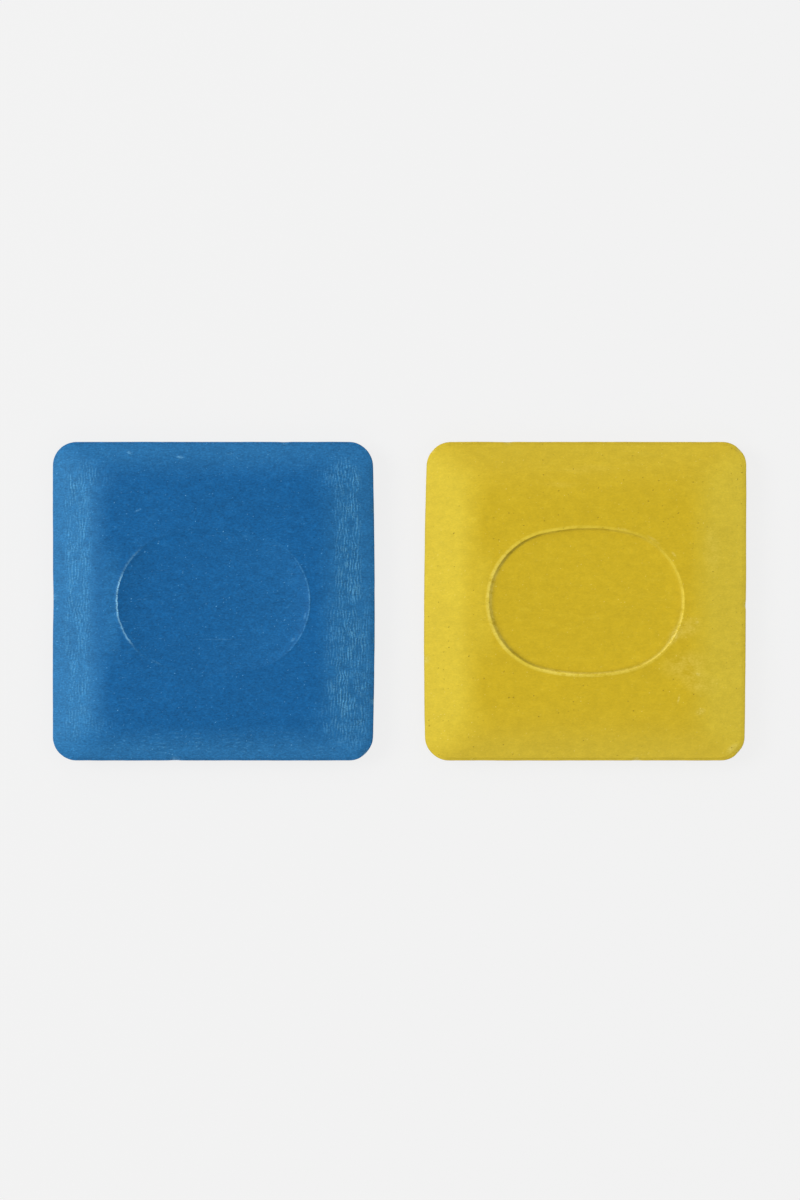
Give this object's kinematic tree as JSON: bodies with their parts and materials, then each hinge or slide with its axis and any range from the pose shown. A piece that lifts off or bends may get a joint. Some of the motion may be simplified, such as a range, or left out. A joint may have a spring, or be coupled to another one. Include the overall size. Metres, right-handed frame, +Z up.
{
  "type": "tailors chalk",
  "caption": "Loose square plates of pressed tailor's chalk, blue and yellow, thick in the middle and bevelled on both faces to a thin marking rim, with a bare oval recess.",
  "frame": {"origin": "on the table under the middle of the pair, halfway between the two plates", "axes": "+X from the blue plate towards the yellow plate, +Y up the plates as pictured, +Z up out of the oval recesses"},
  "size_m": [0.1077, 0.0494, 0.0061],
  "materials": {
    "blue_chalk": "pressed blue chalk, matt with a faint waxy sheen, paler where rubbed",
    "yellow_chalk": "pressed yellow chalk, matt with a faint waxy sheen, paler where rubbed"
  },
  "bodies": {
    "blue": {"blue_plate": "blue_chalk"},
    "yellow": {"yellow_plate": "yellow_chalk"}
  },
  "joints": [
    {"name": "yellow_plate_lift", "type": "slide", "parent": "blue", "child": "yellow", "axis": [0, 0, 1], "range_m": [0, 0.05]}
  ]
}
